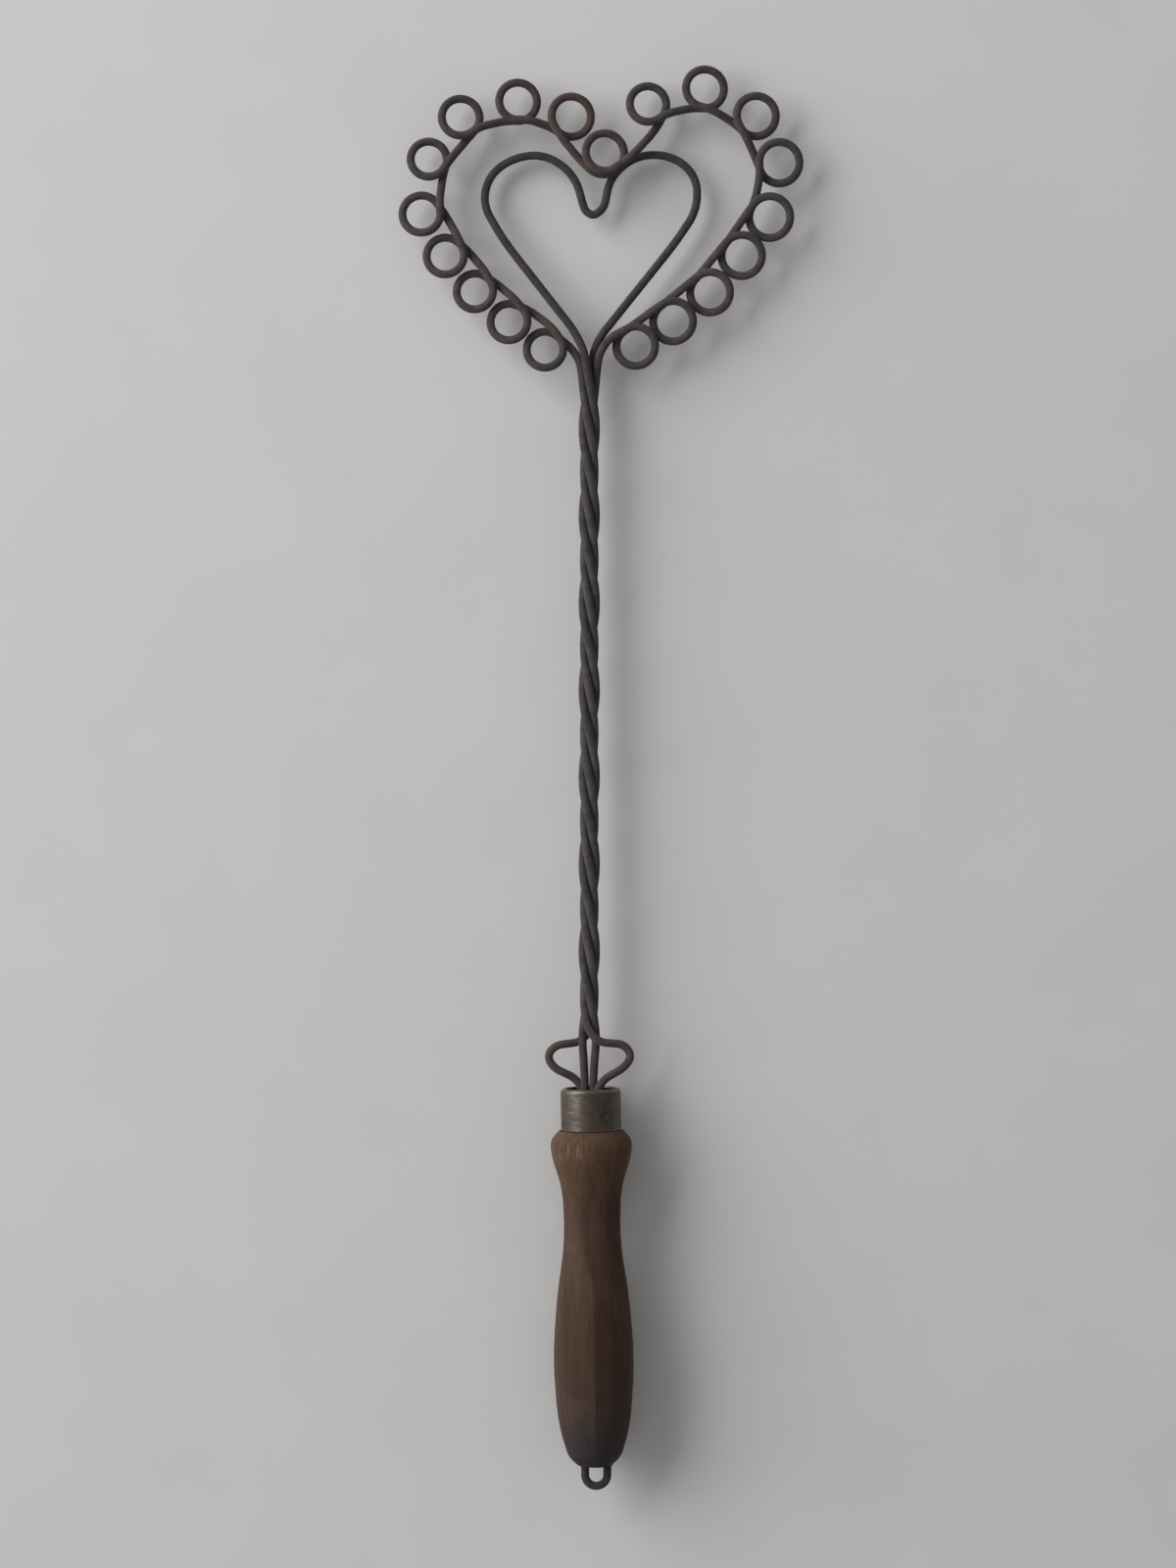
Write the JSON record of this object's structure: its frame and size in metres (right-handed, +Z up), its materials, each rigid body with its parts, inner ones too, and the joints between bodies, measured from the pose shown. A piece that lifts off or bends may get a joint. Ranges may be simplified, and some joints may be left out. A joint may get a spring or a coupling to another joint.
{
  "type": "wire rug beater",
  "caption": "Hand-held wire rug beater: a small heart inside a heart-shaped border of loops, on a twisted wire shaft with a ferrule and a turned wooden handle.",
  "frame": {"origin": "middle of the bounding box, at its underside: the surface below the handle's bulb as the tool lies flat", "axes": "+Y along the tool from the hanging loop to the top of the heart, +X to the right across the head, +Z up out of the flat of the head"},
  "size_m": [0.1508, 0.5305, 0.0303],
  "materials": {
    "border_wire": "darkened steel wire with a brown rust film, dull",
    "heart_wire": "darkened steel wire, blue-black, dull",
    "hanging_loop": "worn grey-brown steel wire",
    "ferrule": "worn sheet steel, olive grey, satin",
    "handle": "aged hardwood, old varnish worn through, satin"
  },
  "bodies": {
    "root": {"left_ear": "border_wire", "border_strand_left": "border_wire", "border_left": "border_wire", "border_cleft_loop": "border_wire", "border_right": "border_wire", "border_strand_right": "border_wire", "right_ear": "border_wire", "core_strand_left": "heart_wire", "heart_strand_left": "heart_wire", "inner_heart_left": "heart_wire", "inner_heart_right": "heart_wire", "heart_strand_right": "heart_wire", "core_strand_right": "heart_wire", "hanging_loop": "hanging_loop", "ferrule": "ferrule", "handle": "handle"}
  },
  "joints": []
}
